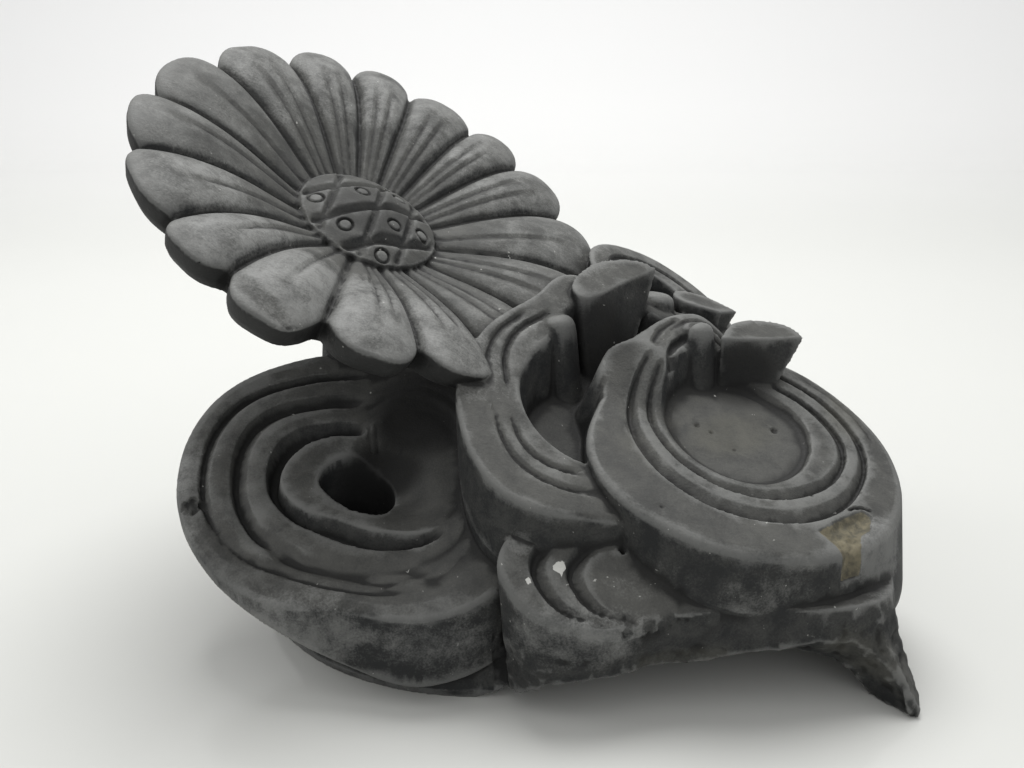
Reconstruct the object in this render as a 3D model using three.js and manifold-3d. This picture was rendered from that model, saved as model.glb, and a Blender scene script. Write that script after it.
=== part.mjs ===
// Roof end tile: a sixteen-petal chrysanthemum over rolling wave scrolls, one
// hollow piece of fired clay.  Millimetres, +Z up, standing on its rim and feet.
import * as THREE from "three";
import { mergeVertices } from "three/addons/utils/BufferGeometryUtils.js";
import Module from "manifold-3d";

const wasm = await Module();
wasm.setup();

// Overall sizes
const WIDTH = 343.8;
const DEPTH = 275;
const HEIGHT = 251.1;

const TURN = 2 * Math.PI;
const CIRCLE = 360;
const rad = (degrees) => degrees * TURN / CIRCLE;
const mix = (a, b, t) => a + (b - a) * t;
const clamp = (v, lo, hi) => Math.min(hi, Math.max(lo, v));

// A closed curve through equally spaced values round a turn, smooth in between.
function round(values) {
  const n = values.length;
  return (angle) => {
    const s = ((angle / TURN) % 1 + 1) % 1 * n;
    const i = Math.floor(s), t = s - i;
    const [a, b, c, d] = [-1, 0, 1, 2].map((k) => values[(i + k + n) % n]);
    return b + 0.5 * t * (c - a + t * (2 * a - 5 * b + 4 * c - d + t * (3 * (b - c) + d - a)));
  };
}

// One between two angles (degrees), falling to nothing over `soft` degrees each end.
function arc(from, to, soft) {
  return (angle) => {
    const half = (to - from) / 2;
    let d = (angle * CIRCLE / TURN - (from + half)) % CIRCLE;
    if (d > CIRCLE / 2) d -= CIRCLE;
    if (d < -CIRCLE / 2) d += CIRCLE;
    const t = clamp((half - Math.abs(d)) / soft, 0, 1);
    return t * t * (3 - 2 * t);
  };
}

// Closed solid from rings of points, bottom outside first, going up and in.
function skin(rings) {
  const n = rings[0].length, points = [], faces = [];
  for (const ring of rings) for (const p of ring) points.push(p);
  const middle = (ring) => ring.reduce((s, p) => s.map((v, k) => v + p[k] / n), [0, 0, 0]);
  const last = (rings.length - 1) * n;
  for (let r = 0; r + 1 < rings.length; r++) {
    for (let i = 0; i < n; i++) {
      const j = (i + 1) % n, a = r * n + i, b = r * n + j, c = a + n, d = b + n;
      const far = (p, q) => p.reduce((t, v, k) => t + (v - q[k]) ** 2, 0);
      if (far(points[a], points[d]) <= far(points[b], points[c])) faces.push([a, b, d], [a, d, c]);
      else faces.push([a, b, c], [b, d, c]);
    }
  }
  const bottom = points.push(middle(rings[0])) - 1;
  const top = points.push(middle(rings[rings.length - 1])) - 1;
  for (let i = 0; i < n; i++) {
    const j = (i + 1) % n;
    faces.push([bottom, j, i], [top, last + i, last + j]);
  }
  return solid(points, faces);
}

function solid(points, faces) {
  let volume = 0;
  for (const [a, b, c] of faces) {
    const [p, q, r] = [points[a], points[b], points[c]];
    volume += p[0] * (q[1] * r[2] - q[2] * r[1]) + p[1] * (q[2] * r[0] - q[0] * r[2])
      + p[2] * (q[0] * r[1] - q[1] * r[0]);
  }
  const out = volume < 0 ? faces.map(([a, b, c]) => [a, c, b]) : faces;
  return new wasm.Manifold(new wasm.Mesh({
    numProp: 3, vertProperties: new Float32Array(points.flat()), triVerts: new Uint32Array(out.flat()),
  }));
}

const ring = (count, at) => Array.from({ length: count }, (_, i) => at(i * TURN / count));

// A scroll: rings given as radius and height over a sloping face, walls upright.
function scroll({ x, y, z, gx, gy, count, rings }) {
  return skin(rings.map(({ r, h = 0, level }) => ring(count, (angle) => {
    const radius = typeof r === "function" ? r(angle) : r;
    const px = radius * Math.cos(angle), py = radius * Math.sin(angle);
    const up = typeof h === "function" ? h(angle) : h;
    const pz = level === undefined ? z + gx * px + gy * py + up
      : typeof level === "function" ? level(angle) : level;
    return [x + px, y + py, pz];
  })));
}

// A groove as three rings: sharp outer edge, floor close inside it, slope up to the inner edge.
function groove(outer, inner, depth, land = 0) {
  const level = typeof land === "function" ? land : () => land;
  return [
    { r: outer, h: level },
    { r: (a) => mix(outer(a), inner(a), 0.18), h: (a) => level(a) - depth(a) },
    { r: inner, h: level },
  ];
}

// Upright piece between two outlines, given foot and top as [x, y, z] lists.
const block = (foot, top) => skin([foot, top]);

// Round finger from foot to head with a domed end.
function finger(foot, head, radius) {
  const way = new THREE.Vector3(...head).sub(new THREE.Vector3(...foot));
  const length = way.length();
  const turn = new THREE.Quaternion().setFromUnitVectors(new THREE.Vector3(0, 0, 1), way.clone().normalize());
  const steps = [[0, 1], [0.84, 0.97], [0.94, 0.8], [1, 0.42]];
  return skin(steps.map(([s, w]) => ring(14, (angle) => {
    const p = new THREE.Vector3(radius * w * Math.cos(angle), radius * w * Math.sin(angle), s * length);
    return p.applyQuaternion(turn).add(new THREE.Vector3(...foot)).toArray();
  })));
}

// Left scroll, wrapped round a through hole
const LEFT = { x: -68, y: -33, z: 76.3, gx: 0.034, gy: 0.523, count: 44 };
const leftRim = round([70, 64, 64, 68, 76, 86, 82, 72, 64, 60, 73.5, 86]);
const leftEdge1 = round([60, 58, 56, 55, 63, 76, 72, 63, 53, 53, 62, 66]);
const leftBand2 = round([58, 56, 54, 51, 58, 70, 67, 59, 49, 50, 59, 64]);
const leftEdge2 = round([55, 53, 49, 43, 50, 62, 58, 52, 45, 46, 55, 61]);
const leftBand3 = round([53, 51, 46, 36, 42, 53, 50, 45, 39, 41, 50, 58]);
const leftEdge3 = round([50, 48, 42, 29, 34, 44, 42, 35, 30, 32, 40, 52]);
const leftBand4 = round([47, 45, 36, 22, 25, 32, 35, 28, 22, 23, 31, 47]);
const leftEye = round([16, 15, 14, 13, 13, 16, 18, 15, 14, 16, 18, 16]);
const leftWall = round([30, 30, 24, 18, 15, 13, 12, 12, 18, 32, 38, 34]);
const leftRoot = round([34, 40, 50, 62, 62, 50, 36, 22, 8, 5, 5, 14]);
const rampFoot = arc(-84, 118, 74);                  // the same side where it falls to the hole
const ramp = arc(-56, 92, 42);                       // the side that climbs to the middle scroll
const leftCut1 = (a) => 4.5 * arc(86, 208, 20)(a) + 2 * arc(200, 300, 26)(a);
const leftCut2 = (a) => 5.5 * arc(86, 228, 20)(a) + 2.6 * arc(214, 296, 24)(a);
const leftCut3 = (a) => 8.5 * arc(86, 328, 18)(a);
const tongue = arc(220, 300, 14);                    // where the second band has died away
const left = scroll({ ...LEFT, rings: [
  { r: (a) => 0.52 * leftRim(a), level: leftRoot },
  { r: (a) => leftRim(a) - 6 - 4 * arc(190, 262, 30)(a), h: (a) => -leftWall(a) - 1 },
  { r: (a) => leftRim(a) - 0.5, h: (a) => 4 - leftWall(a) },
  { r: leftRim, h: (a) => 12 * ramp(a) - 1 },
  { r: leftEdge1, h: (a) => 10 * ramp(a) },
  { r: (a) => mix(leftEdge1(a), leftBand2(a), 0.25), h: (a) => 10 * ramp(a) - leftCut1(a) },
  { r: leftBand2, h: (a) => 9 * ramp(a) - 2 * tongue(a) },
  { r: leftEdge2, h: (a) => 8 * ramp(a) - 2.6 * tongue(a) },
  { r: (a) => mix(leftEdge2(a), leftBand3(a), 0.3), h: (a) => 8 * ramp(a) - leftCut2(a) },
  { r: leftBand3, h: (a) => 7 * ramp(a) - 0.6 },
  { r: leftEdge3, h: (a) => 6 * ramp(a) - 0.6 },
  { r: (a) => mix(leftEdge3(a), leftBand4(a), 0.3), h: (a) => 4 * ramp(a) - leftCut3(a) },
  { r: (a) => mix(leftEdge3(a), leftBand4(a), 0.75), h: (a) => 3 * ramp(a) - leftCut3(a) },
  { r: leftBand4, h: (a) => 2 * ramp(a) },
  { r: (a) => mix(leftBand4(a), leftEye(a), 0.5), h: (a) => -4.5 * rampFoot(a) },
  { r: leftEye, h: (a) => -11 * rampFoot(a) - 0.5 },
] });
const eye = skin([[-60, 1.15], [-12, 0.98], [8, 1.02]].map(([down, wide]) => ring(24, (angle) => {
  const r = leftEye(angle) * wide;
  return [LEFT.x + r * Math.cos(angle), LEFT.y + r * Math.sin(angle), LEFT.z + LEFT.gy * r * Math.sin(angle) + down];
})));

// Middle scroll with its pocket
const MID = { x: 32, y: -20, z: 119, gx: -0.33, gy: 0.55, count: 40 };
const midRim = round([54, 50, 50, 56, 41, 40, 49, 64, 75, 66, 64, 58]);
const midOuter = round([49, 46, 46, 49, 36.5, 36, 43, 48, 60, 57, 56, 52]);
const midInner = round([40, 40, 42, 43, 31.5, 31.5, 36, 40, 52, 49, 47, 42]);
const midPocket = round([34, 34, 38, 37, 23, 19, 24, 33, 40, 42, 40, 36]);
const midOpen = arc(-60, 84, 14);                    // here the ring sinks under the right scroll
const midRise = (a) => 3 * arc(70, 196, 40)(a) - 23 * midOpen(a);
const midCut1 = (a) => 3 * arc(134, 208, 16)(a) + 3.2 * arc(213, 279, 16)(a);
const midCut2 = (a) => 3.6 * arc(114, 213, 16)(a) + 3.6 * arc(219, 270, 14)(a);
const middle = scroll({ ...MID, rings: [
  { r: (a) => midRim(a) - 10, level: 24 },
  { r: (a) => midRim(a) - 1, h: -34 },
  { r: midRim, h: midRise },
  ...groove(midOuter, (a) => midOuter(a) - 3.4, midCut1, midRise),
  ...groove(midInner, (a) => midInner(a) - 3.4, midCut2, midRise),
  { r: midPocket, h: midRise },
  { r: (a) => midPocket(a) - 1.5, h: -24 },
] });
const midFinger = finger([24, -3, 96], [20, 4, 140], 9);
const midWedge = block(
  [[33, 10, 92], [33.5, 4, 92], [36, 0, 92], [40, 1, 92], [45, 8, 92], [51, 20, 92], [52, 34, 92], [44, 36, 92],
    [37, 28, 92], [33, 18, 92]],
  [[27, 20, 150], [29, 15, 147.5], [34, 13, 145], [40, 18, 145.5], [53, 31, 148.5], [71, 47, 151], [63, 49, 155],
    [47, 44, 157], [37, 36, 156], [30, 27, 153]]);

// Right scroll, the largest
const RIGHT = { x: 104, y: -28, z: 98.6, gx: -0.207, gy: 0.38, count: 46 };
const rightLine = round([65, 58.5, 54, 50.5, 53, 53.5, 65, 81, 77, 70, 68.5, 68.5]);
const rightShoulder = arc(154, 180, 11);
const rightRim = (a) => rightLine(a) + 6 * rightShoulder(a);
const rightEdge1 = round([53, 49, 45, 44, 47.5, 44.5, 53.5, 57, 56, 53, 52, 52]);
const rightBand2 = round([49, 45.5, 42, 41, 45, 42.5, 48.5, 50, 48.5, 46, 45, 46.5]);
const rightEdge2 = round([44, 40, 36.5, 37, 42, 39.5, 45, 45, 43, 41, 40, 42]);
const rightBand3 = round([40, 36.5, 33.5, 34, 38.5, 37, 41, 40.5, 38, 35, 34, 37]);
const rightFloor = round([27, 28, 27, 29, 32, 34.5, 36, 35.5, 33, 30, 27, 26]);
const rightLobe = arc(78, 186, 34);                  // back-left part stands higher
const rightSide = arc(-64, 90, 34);                  // this wall runs straight down to the foot
const rightFlare = arc(110, 200, 30);                // the wall under it spreads into the middle scroll
const rightRise = (a) => 16 * rightLobe(a);
const rightCut = (a) => (4.6 - 2.4 * rightLobe(a)) * (1 - arc(147, 163, 7)(a));
const right = scroll({ ...RIGHT, rings: [
  { r: (a) => rightRim(a) - 8 + 10 * rightSide(a), level: 22 },
  { r: (a) => rightRim(a) + 0.5 + 4.5 * rightSide(a) + 12 * rightFlare(a), h: (a) => -27 - 12 * rightSide(a) },
  { r: (a) => rightRim(a) + 0.6, h: (a) => -2.5 + rightRise(a) },
  { r: (a) => rightRim(a) - 1.6, h: rightRise },
  { r: rightEdge1, h: rightRise },
  { r: (a) => mix(rightEdge1(a), rightBand2(a), 0.2), h: (a) => rightRise(a) - rightCut(a) },
  { r: rightBand2, h: (a) => 0.96 * rightRise(a) },
  { r: rightEdge2, h: (a) => 0.9 * rightRise(a) },
  { r: (a) => mix(rightEdge2(a), rightBand3(a), 0.2), h: (a) => 0.9 * rightRise(a) - rightCut(a) },
  { r: rightBand3, h: (a) => 0.86 * rightRise(a) - 0.5 },
  { r: (a) => rightFloor(a) + 2.2, h: (a) => 0.8 * rightRise(a) - 1 },
  { r: rightFloor, h: -4.8 },
] });
const rightFinger = finger([86, 1, 98], [85, 9, 135], 8.4);
const rightWedge = block(
  [[96, 0, 98], [107, 0, 98], [118, 0, 98], [118, 10, 98], [112, 17, 98], [104, 16, 98], [98, 10, 98]],
  [[95, 1, 130], [115, 5, 128], [137, 12, 127], [131, 19, 131], [120, 20, 133], [110, 18, 134], [101, 11, 134]]);

// Lower front lobe: nested drops that share their upper edge
const LOBE = { x: 19, y: -84, z: 73.6, gx: -0.195, gy: 1 };
const lobeX = round([97, 76, 55, 35, 19, 8, -3, -6, 1, 11, 23, 35, 47, 56, 75, 88]);
const lobeY = round([-97, -92, -88, -84, -81, -80, -87, -95, -104, -108.5, -110, -109.7, -107, -103.5, -100, -98]);
const lobeRing = (shrink, up) => ring(32, (a) => {
  const x = mix(lobeX(a), 95, shrink), y = mix(lobeY(a), -96, shrink);
  return [x, y, LOBE.z + LOBE.gx * (x - LOBE.x) + LOBE.gy * (y - LOBE.y) + (typeof up === "number" ? up : up(a))];
});
const lobeHead = arc(96, 300, 36);
const lobeFoot = ring(32, (a) => [mix(lobeX(a), 40, 0.1), mix(lobeY(a), -84, 0.2), 4]);
const lobe = skin([
  lobeFoot, lobeRing(0, -4), lobeRing(0.02, 0),
  lobeRing(0.125, 0), lobeRing(0.14, (a) => -5.5 * lobeHead(a)), lobeRing(0.2, 0),
  lobeRing(0.27, 0), lobeRing(0.285, (a) => -5 * lobeHead(a)), lobeRing(0.35, 0.2), lobeRing(0.8, 0.6),
]);

// Rear scroll, plainer, its own finger and wedge
const REAR = { x: 66, y: 60, z: 138.8, gx: -0.5, gy: 0.25, count: 28 };
const rearRim = round([48, 46, 42, 38, 34, 30, 27, 25, 23, 22, 26, 38]);
const rearCut = (a) => 3.5 * arc(-60, 170, 30)(a);
const rear = scroll({ ...REAR, rings: [
  { r: (a) => rearRim(a) - 6, level: 20 },
  { r: (a) => rearRim(a) - 1, h: -22 },
  { r: rearRim, h: -1.6 },
  { r: (a) => rearRim(a) - 3, h: 0 },
  ...groove((a) => rearRim(a) - 10, (a) => rearRim(a) - 14, rearCut, 0),
  { r: (a) => rearRim(a) * 0.5, h: -0.5 },
  { r: (a) => rearRim(a) * 0.46, h: -12 },
] });
const rearFinger = finger([67, 47, 100], [72, 54, 137], 10);
const rearWedge = block(
  [[84, 52, 108], [100, 50, 108], [104, 58, 108], [94, 66, 108], [84, 64, 108]],
  [[80, 54, 134], [104, 50, 128], [114, 58, 126], [98, 68, 132], [82, 66, 136]]);

// Flower
const TIP = 121, BOSS = 36;
const facing = new THREE.Vector3(0.439, -0.299, 0.847).normalize();
const across = new THREE.Vector3(1, 0, 0).addScaledVector(facing, -facing.x).normalize();
const away = new THREE.Vector3().crossVectors(facing, across);
const heart = new THREE.Vector3(-69.7, 50, 173.8);
const onFlower = (r, angle, h) => heart.clone().addScaledVector(across, r * Math.cos(angle))
  .addScaledVector(away, r * Math.sin(angle)).addScaledVector(facing, h).toArray();
const seams = [1, 28, 50, 67, 86, 103, 122, 147, 175, 199, 223, 241, 263, 286, 308, 334];
const tips = [118, 119, 122, 121, 126, 123, 119, 117, 118, 121, 123, 127, 121, 117, 116, 116];
const notches = [110, 110, 115, 118, 118, 115, 112, 107, 108, 110, 110, 108, 103, 101, 101, 104];
const bend = [[BOSS, -1], [46, 4], [62, 11], [80, 17], [98, 20], [112, 19.5], [TIP, 17.5], [140, 12]];
const DROOP = { from: 276, to: 366, soft: 36, fall: 8 };         // the petals that hang lower, front right
const droop = arc(DROOP.from, DROOP.to, DROOP.soft);
const places = [-1, -0.8, -0.42, 0, 0.42, 0.8];              // across one petal, seam first
const spokes = seams.flatMap((from, i) => places.map((s) => {
  const to = i + 1 < seams.length ? seams[i + 1] : seams[0] + 360;
  const edge = notches[s < 0 ? i : (i + 1) % seams.length];
  return { s, angle: rad(mix(from, to, (s + 1) / 2)), end: tips[i] - (tips[i] - edge) * Math.abs(s) ** 3 };
}));
function petalRing(share, drop, inset = 0) {
  return spokes.map(({ s, angle, end }) => {
    const radius = mix(BOSS, end - inset, share);
    const k = bend.findIndex(([at]) => radius < at);
    const [[r0, h0], [r1, h1]] = k < 1 ? bend : [bend[k - 1], bend[k]];
    const high = mix(h0, h1, (radius - r0) / (r1 - r0)) - (1.5 + 5 * share) * Math.abs(s) ** 2.4
      - DROOP.fall * share * droop(angle);
    return onFlower(radius, angle, high - drop);
  });
}
const flower = skin([
  spokes.map(({ angle }) => onFlower(30, angle, -20)),
  petalRing(1, 15, 6), petalRing(1, 3, -0.6), petalRing(1, 0.4, 1),
  petalRing(0.92, 0), petalRing(0.74, 0), petalRing(0.46, 0), petalRing(0.18, 0),
  petalRing(0, 0), spokes.map(({ angle }) => onFlower(BOSS - 5, angle, -3)),
]);

// domed middle of the flower, crossed by two sets of grooves
const steep = [-21.5, 0, 19.5], slant = [-48, -22, 4, 30, 56];
const lanes = (cuts, low, high, end) => [-end, ...cuts.flatMap((c) => [c - low, c, c + high]), end];
function bossGrid() {
  const us = lanes(steep, 2.4, 2.4, 46), vs = lanes(slant, 3, 7, 80);
  const points = [], faces = [], n = us.length, m = vs.length;
  for (const level of [0, 1]) {
    for (const v of vs) {
      for (const u of us) {
        const y = v + 0.85 * u, x = u + 0.08 * y;
        const cut = steep.includes(u) || slant.includes(v) ? 3.6 : 0;
        points.push(onFlower(Math.hypot(x, y), Math.atan2(y, x), level ? 8 - 9 * (x * x + y * y) / 1300 - cut : -60));
      }
    }
  }
  const quad = (a, b, c, d) => faces.push([a, b, c], [a, c, d]);
  const at = (i, j, level) => (level * m + j) * n + i;
  for (let j = 0; j + 1 < m; j++) {
    for (let i = 0; i + 1 < n; i++) {
      quad(at(i, j, 1), at(i + 1, j, 1), at(i + 1, j + 1, 1), at(i, j + 1, 1));
      quad(at(i, j, 0), at(i, j + 1, 0), at(i + 1, j + 1, 0), at(i + 1, j, 0));
    }
    quad(at(0, j, 0), at(0, j, 1), at(0, j + 1, 1), at(0, j + 1, 0));
    quad(at(n - 1, j, 0), at(n - 1, j + 1, 0), at(n - 1, j + 1, 1), at(n - 1, j, 1));
  }
  for (let i = 0; i + 1 < n; i++) {
    quad(at(i, 0, 0), at(i + 1, 0, 0), at(i + 1, 0, 1), at(i, 0, 1));
    quad(at(i, m - 1, 0), at(i, m - 1, 1), at(i + 1, m - 1, 1), at(i + 1, m - 1, 0));
  }
  return solid(points, faces);
}
const bossRound = skin([[-12, BOSS - 1], [14, BOSS - 1]].map(([h, r]) => ring(36, (a) => onFlower(r, a, h))));
const boss = bossGrid().intersect(bossRound);

// stem under the flower, broad and flat, growing out of the left scroll
const underFlower = (x, y) => heart.z - 12 - (facing.x * (x - heart.x) + facing.y * (y - heart.y)) / facing.z;
const stem = skin([[60, 1.25], [98, 1.06], [118, 1], [0, 1.15]].map(([level, wide], k) => ring(24, (a) => {
  const x = -58 + 36 * wide * Math.cos(a), y = 46 + 22 * wide * Math.sin(a);
  return [x, y, k < 3 ? level : underFlower(x, y)];
})));

// Body under the carving: round foot ring on the left, feet on the right
const BODY = { x: 20, y: 8 };
const ROUND = { x: -15, y: 18, r: 109 };
function bodyReach(angle, right, front, inset, neck, corner) {   // soft least of the round end and three flat sides
  const c = Math.cos(angle), s = Math.sin(angle), limits = [];
  if (c > 0) limits.push((right - BODY.x) / c);
  if (s < 0) limits.push((BODY.y + front) / -s);
  if (s > 0) limits.push(112 / s);
  const dx = BODY.x - ROUND.x, dy = BODY.y - ROUND.y, b = dx * c + dy * s;
  if (c < 0.2) limits.push(-b + Math.sqrt(b * b - dx * dx - dy * dy + (ROUND.r - neck) ** 2));
  return limits.reduce((sum, v) => sum + v ** -corner, 0) ** (-1 / corner) - inset;
}
function bodyRing(level, right, { front = 99, inset = 0, neck = 0, corner = 30, tilt = 0, lift = 0, back = [0, 0, 1], count = 48 }) {
  const [rise, from, to] = back;
  return ring(count, (a) => {
    const r = bodyReach(a, right, front, inset, neck, corner);
    const x = BODY.x + r * Math.cos(a), y = BODY.y + r * Math.sin(a);
    const t = clamp((y - from) / (to - from), 0, 1);
    return [x, y, level + tilt * (y + 90) + lift * clamp(x / 50, 0, 1) + rise * t * t * (3 - 2 * t)];
  });
}
const hull = skin([
  bodyRing(0, 171, { front: 106, inset: 1.5, corner: 70 }), bodyRing(4, 170.5, { front: 105.5, corner: 60 }),
  bodyRing(16, 166, { front: 102, neck: 3, corner: 26 }), bodyRing(30, 164, { neck: 9, corner: 12, back: [8, 20, 90] }),
  bodyRing(38, 163, { inset: 0.5, neck: 12, corner: 8, lift: 9, back: [24, 20, 90] }),
  bodyRing(42, 162, { inset: 20, neck: 12, corner: 6, lift: 9, back: [38, 10, 80] }),
  bodyRing(45, 160, { inset: 58, neck: 12, corner: 5, lift: 9, back: [50, -30, 45] }),
]);
const hollow = skin([
  bodyRing(-2, 168, { inset: 17, count: 32 }), bodyRing(16, 168, { inset: 17, neck: 3, corner: 16, count: 32 }),
  bodyRing(26, 168, { inset: 22, neck: 8, corner: 7, tilt: 0.06, count: 32 }),
  bodyRing(32, 166, { inset: 38, neck: 8, corner: 5, tilt: 0.22, count: 32 }),
  bodyRing(34, 162, { inset: 66, neck: 8, corner: 5, tilt: 0.33, count: 32 }),
]);

// ways under the body, front and back, that leave a foot at each right corner
const archLine = [[-17, -1], [-6, 4], [4, 9.5], [14, 15.5], [28, 19], [46, 21.5], [76, 24.2], [102, 24.6], [118, 22.6], [130, 18.8],
  [138, 14.4], [143, 10.2], [147, 5.6], [150.5, -1]];
const archAt = (y, flare) => [[-17, -6], [150.5 + 0.9 * flare, -6], ...archLine.slice().reverse().map(([x, z]) => {
  const t = clamp((x - 92) / 36, 0, 1);
  return [x + 0.9 * flare * t, z + 1.35 * flare * t * clamp(z / 12, 0, 1)];
})].map(([x, z]) => [x, y, z]);
const frontArch = skin([archAt(-135, 13), archAt(-101, 13), archAt(-88, 0), archAt(-66, 0)]);
const backArch = skin([archAt(70, 0), archAt(160, 4)]);

let tile = hull;
for (const piece of [left, middle, right, lobe, rear, stem]) tile = tile.add(piece);
tile = tile.subtract(hollow).subtract(eye);
for (const piece of [flower, boss, midFinger, midWedge, rightFinger, rightWedge, rearFinger, rearWedge]) tile = tile.add(piece);
tile = tile.subtract(frontArch).subtract(backArch);
const keep = tile.simplify(0.155).decompose().sort((a, b) => b.volume() - a.volume())[0];

const mesh = keep.getMesh();
const positions = [];
for (let i = 0; i < mesh.vertProperties.length; i += mesh.numProp) {
  positions.push(mesh.vertProperties[i], mesh.vertProperties[i + 1], mesh.vertProperties[i + 2]);
}
let geometry = new THREE.BufferGeometry();
geometry.setAttribute("position", new THREE.BufferAttribute(new Float32Array(positions), 3));
geometry.setIndex(new THREE.BufferAttribute(new Uint32Array(mesh.triVerts), 1));
geometry = mergeVertices(geometry, 1e-3);

// the middle of the box stands over the origin, the feet on z = 0, at the overall sizes
geometry.computeBoundingBox();
const { min, max } = geometry.boundingBox;
geometry.translate(-(min.x + max.x) / 2, -(min.y + max.y) / 2, -min.z);
geometry.scale(WIDTH / (max.x - min.x), DEPTH / (max.y - min.y), HEIGHT / (max.z - min.z));

const tileMesh = new THREE.Mesh(geometry);
tileMesh.name = "wave_and_chrysanthemum_tile";
const group = new THREE.Group();
group.add(tileMesh);
export default group;
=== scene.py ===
"""Looks for a roof end tile of smoked clay: a tilted chrysanthemum over rolling wave scrolls.

The tile is one piece.  Its forms are lofted ring by ring with bmesh, joined and hollowed, made
one even skin, then carved and worn.  Carving sizes are in millimetres in the carver's frame,
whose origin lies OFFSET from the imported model's.
"""
import math

import bmesh
import bpy
import numpy as np
from mathutils import Matrix, Vector


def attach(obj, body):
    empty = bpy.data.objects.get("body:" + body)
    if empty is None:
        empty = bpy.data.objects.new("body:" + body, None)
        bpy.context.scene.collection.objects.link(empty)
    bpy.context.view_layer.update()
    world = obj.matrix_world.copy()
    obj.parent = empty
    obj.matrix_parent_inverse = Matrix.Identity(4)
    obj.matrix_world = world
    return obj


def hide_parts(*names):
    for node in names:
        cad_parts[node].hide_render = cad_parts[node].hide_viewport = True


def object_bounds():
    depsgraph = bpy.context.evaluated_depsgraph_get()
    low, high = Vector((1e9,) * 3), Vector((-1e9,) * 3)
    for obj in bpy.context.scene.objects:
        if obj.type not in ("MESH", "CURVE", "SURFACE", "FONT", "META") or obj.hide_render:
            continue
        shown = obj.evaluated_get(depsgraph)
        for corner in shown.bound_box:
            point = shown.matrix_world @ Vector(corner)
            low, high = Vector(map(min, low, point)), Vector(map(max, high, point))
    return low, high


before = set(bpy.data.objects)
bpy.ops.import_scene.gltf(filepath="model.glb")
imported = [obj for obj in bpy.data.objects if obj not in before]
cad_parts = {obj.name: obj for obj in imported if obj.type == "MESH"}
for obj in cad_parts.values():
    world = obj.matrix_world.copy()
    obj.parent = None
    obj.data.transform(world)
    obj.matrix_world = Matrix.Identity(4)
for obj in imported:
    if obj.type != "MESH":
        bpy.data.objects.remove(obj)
cad_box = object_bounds()

bl_info = {
    "name": "Roof End Tile",
    "version": (1, 0, 0),
    "blender": (4, 5, 0),
    "location": "3D View > Sidebar > Tile",
    "description": "Carves and finishes a smoked clay roof end tile",
    "category": "Object",
}

NODE = "wave_and_chrysanthemum_tile"
PIECE = "carved_tile"
MM = 0.001
TURN = 2 * math.pi
OFFSET = np.array((2.671, 27.367, 0.0))

# Places of sockets that share a name or are found by number
ATTRIBUTE_FACTOR = 2
OBJECT_PLACE = 3
MIX_FACTOR, MIX_A, MIX_B, MIX_RESULT = 0, 6, 7, 2

# The board's size and sweep, and the studio's lights, in metres and watts
BOARD_SIDE, BOARD_FRONT, BOARD_BEND, BOARD_TOP = 3.0, -2.0, 1.2, 3.5
SWEEP = 0.6
STUDIO_LIGHT = 0.68
SOFTBOXES = (
    # Name, place, aim, size, power
    ("top_softbox", (0.0, 0.5, 1.45), (0, 0, 0.1), 1.0, 21.0),
    ("left_softbox", (-1.4, 0.2, 0.9), (-0.05, 0, 0.15), 0.9, 5.0),
    ("front_fill", (0.7, -1.5, 0.9), (0, 0, 0.1), 1.2, 1.0),
)


# Curves and windows

def ease(t):
    """Nothing to one with soft ends."""
    t = np.clip(t, 0.0, 1.0)
    return t * t * (3 - 2 * t)


def mix(a, b, t):
    return a + (b - a) * t


def closed_curve(*values):
    """A smooth closed curve through equally spaced values round a turn."""
    values = np.array(values, float)

    def at(angle):
        place = (angle / TURN % 1.0) * len(values)
        step = np.floor(place).astype(int)
        t = place - step
        a, b, c, d = (values[(step + k) % len(values)] for k in (-1, 0, 1, 2))
        return b + 0.5 * t * (c - a + t * (2 * a - 5 * b + 4 * c - d + t * (3 * (b - c) + d - a)))

    return at


def arc(angle, start, end, soft):
    """One between two angles in degrees, falling to nothing over soft degrees at each end."""
    half = (end - start) / 2
    off = (np.degrees(angle) - start - half + 180) % 360 - 180
    return ease((half - np.abs(off)) / soft)


def smooth_line(x, points):
    """Height along a line of (x, height) points, with the corners eased."""
    xs, ys = (np.array(v, float) for v in zip(*points))
    slopes = np.gradient(ys, xs)
    k = np.clip(np.searchsorted(xs, x) - 1, 0, len(xs) - 2)
    width = xs[k + 1] - xs[k]
    t = np.clip((x - xs[k]) / width, 0, 1)
    return ((1 + 2 * t) * (1 - t) ** 2 * ys[k] + t * (1 - t) ** 2 * width * slopes[k]
            + t * t * (3 - 2 * t) * ys[k + 1] + t * t * (t - 1) * width * slopes[k + 1])


def angles(count):
    return np.arange(count) * TURN / count


# Lofts and joins

def extrude(bm, edges):
    """Extrudes edges, and gives the new edges and their new corners."""
    grown = bmesh.ops.extrude_edge_only(bm, edges=edges)["geom"]
    return ([g for g in grown if isinstance(g, bmesh.types.BMEdge)],
            [g for g in grown if isinstance(g, bmesh.types.BMVert)])


def make_object(name, bm):
    """An object in the scene from a bmesh, which is freed."""
    mesh = bpy.data.meshes.new(name)
    bm.to_mesh(mesh)
    bm.free()
    made = bpy.data.objects.new(name, mesh)
    bpy.context.scene.collection.objects.link(made)
    return made


def shade_smooth(mesh):
    mesh.polygons.foreach_set("use_smooth", np.ones(len(mesh.polygons), bool))


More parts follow.
